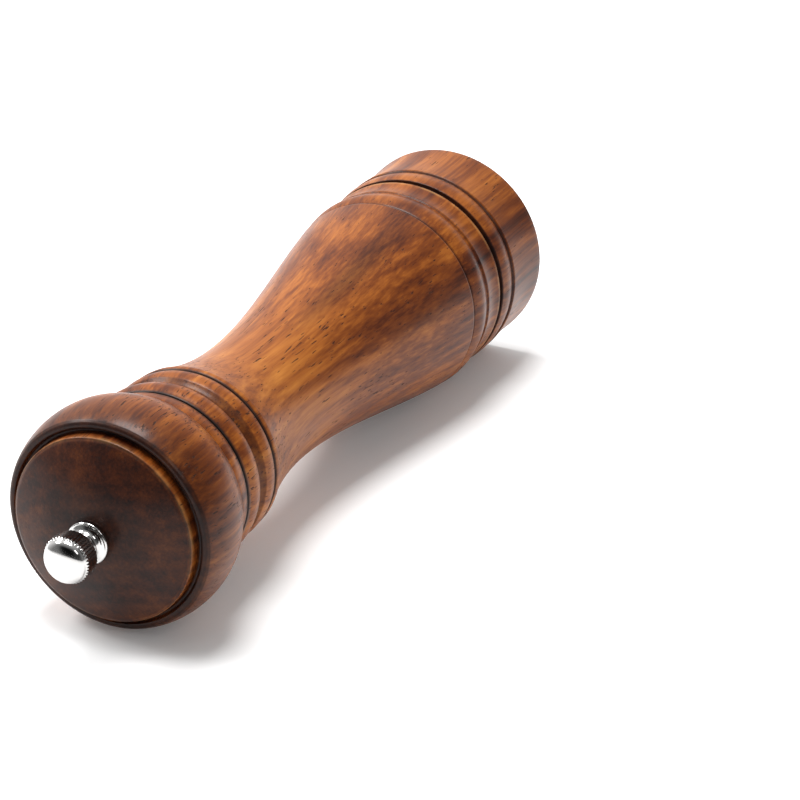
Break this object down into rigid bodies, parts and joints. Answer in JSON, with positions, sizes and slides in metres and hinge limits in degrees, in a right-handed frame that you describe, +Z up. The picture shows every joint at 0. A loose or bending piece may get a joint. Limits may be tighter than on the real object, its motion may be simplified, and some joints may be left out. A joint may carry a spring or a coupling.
{
  "type": "pepper mill",
  "caption": "Turned wooden pepper mill with a domed head, a knurled metal knob and a ceramic grinding mechanism on a square shaft.",
  "frame": {"origin": "centre of the foot's underside, on the mill's axis", "axes": "+Z up the axis from the foot to the knob; +X and +Y are two directions across it"},
  "size_m": [0.058, 0.058, 0.2173],
  "materials": {
    "wood": "dark stain under satin lacquer",
    "chrome": "polished",
    "steel": "stamped and deburred",
    "shaft_steel": "drawn square bar",
    "spring_steel": "drawn wire",
    "screw_steel": "zinc-plated",
    "ceramic": "fired, unglazed",
    "black_nylon": "moulded",
    "white_nylon": "moulded"
  },
  "bodies": {
    "base": {"mill_body": "wood", "burr_housing": "black_nylon", "grinder_stator": "ceramic", "shaft_bridge": "steel", "bridge_bushing": "white_nylon", "bottom_plate": "steel", "bottom_plate_screws": "screw_steel"},
    "driver": {"thrust_washer": "steel", "rotor_spring": "spring_steel"},
    "spindle": {"drive_shaft": "shaft_steel", "rotor_hub": "black_nylon", "grinder_rotor": "ceramic", "rotor_clip": "steel", "spring_seat": "steel"},
    "head": {"mill_head": "wood", "drive_plate": "steel", "drive_plate_screws": "screw_steel"},
    "knob": {"thumb_nut": "chrome"}
  },
  "joints": [
    {"name": "head_turn", "type": "hinge", "parent": "base", "child": "driver", "pos_m": [0, 0, 0], "axis": [0, 0, 1], "continuous": true},
    {"name": "rotor_travel", "type": "slide", "parent": "driver", "child": "spindle", "axis": [0, 0, 1], "range_m": [-0.0014, 0], "deforming": ["rotor_spring"]},
    {"name": "head_lift", "type": "slide", "parent": "driver", "child": "head", "axis": [0, 0, 1], "range_m": [0, 0.06]},
    {"name": "nut_turn", "type": "hinge", "parent": "head", "child": "knob", "pos_m": [0, 0, 0.21], "axis": [0, 0, 1], "range_deg": [0, 720]}
  ],
  "couplings": [
    {"joint": "nut_turn", "follows": "rotor_travel", "rad_per_m": -8976}
  ]
}
